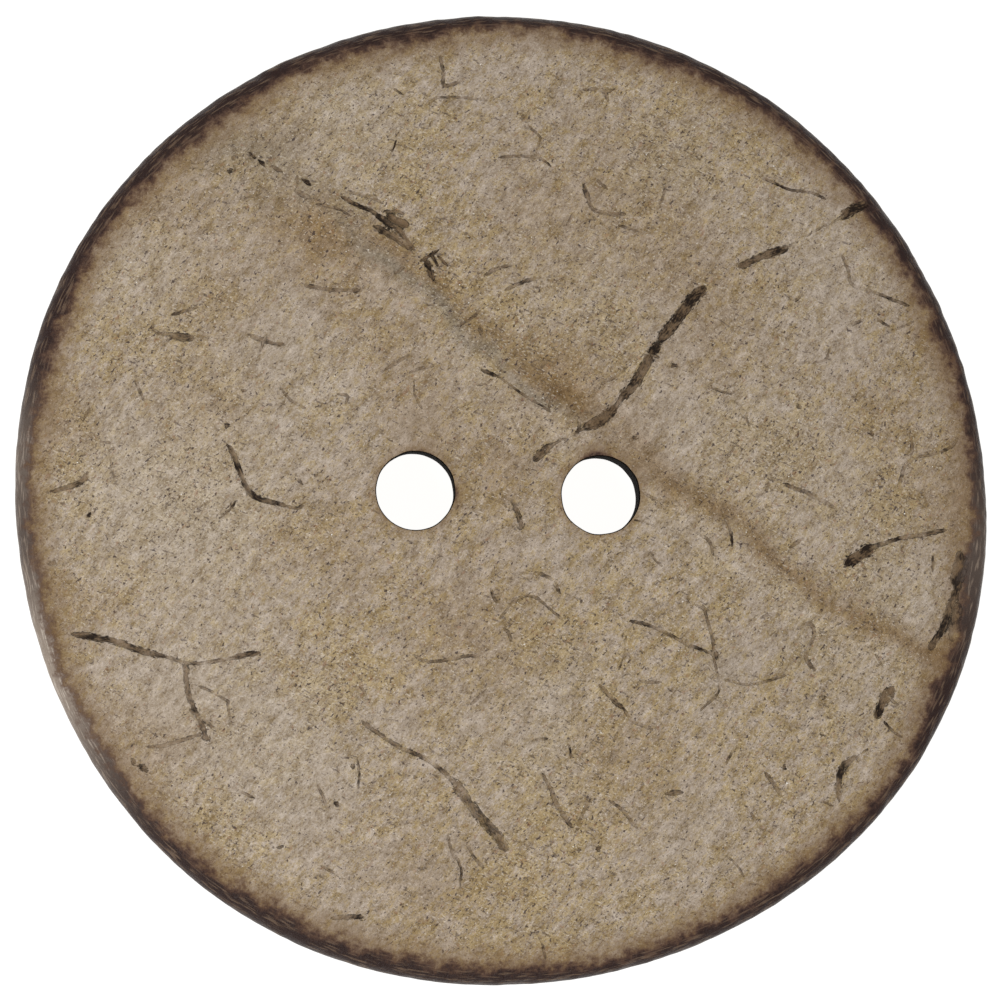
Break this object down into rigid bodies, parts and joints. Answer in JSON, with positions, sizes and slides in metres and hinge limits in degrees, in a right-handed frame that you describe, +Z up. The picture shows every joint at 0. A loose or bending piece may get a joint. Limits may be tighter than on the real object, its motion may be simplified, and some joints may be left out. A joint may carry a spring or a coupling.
{
  "type": "sew-on button",
  "caption": "Large domed sew-on button cut from coconut shell, with drilled thread holes through the face and a ground ring on the back.",
  "frame": {"origin": "under the middle of the disc, in the plane of the ground ring on the back", "axes": "+Z up out of the domed skin face, +X from one thread hole to the other, +Y across them"},
  "size_m": [0.0507, 0.0506, 0.0056],
  "materials": {
    "coconut_shell": "natural coconut shell skin, matt grey-brown with fine dark flecks and dark veins, and a worn dark brown polished rim"
  },
  "bodies": {
    "root": {"coconut_shell_disc": "coconut_shell"}
  },
  "joints": []
}
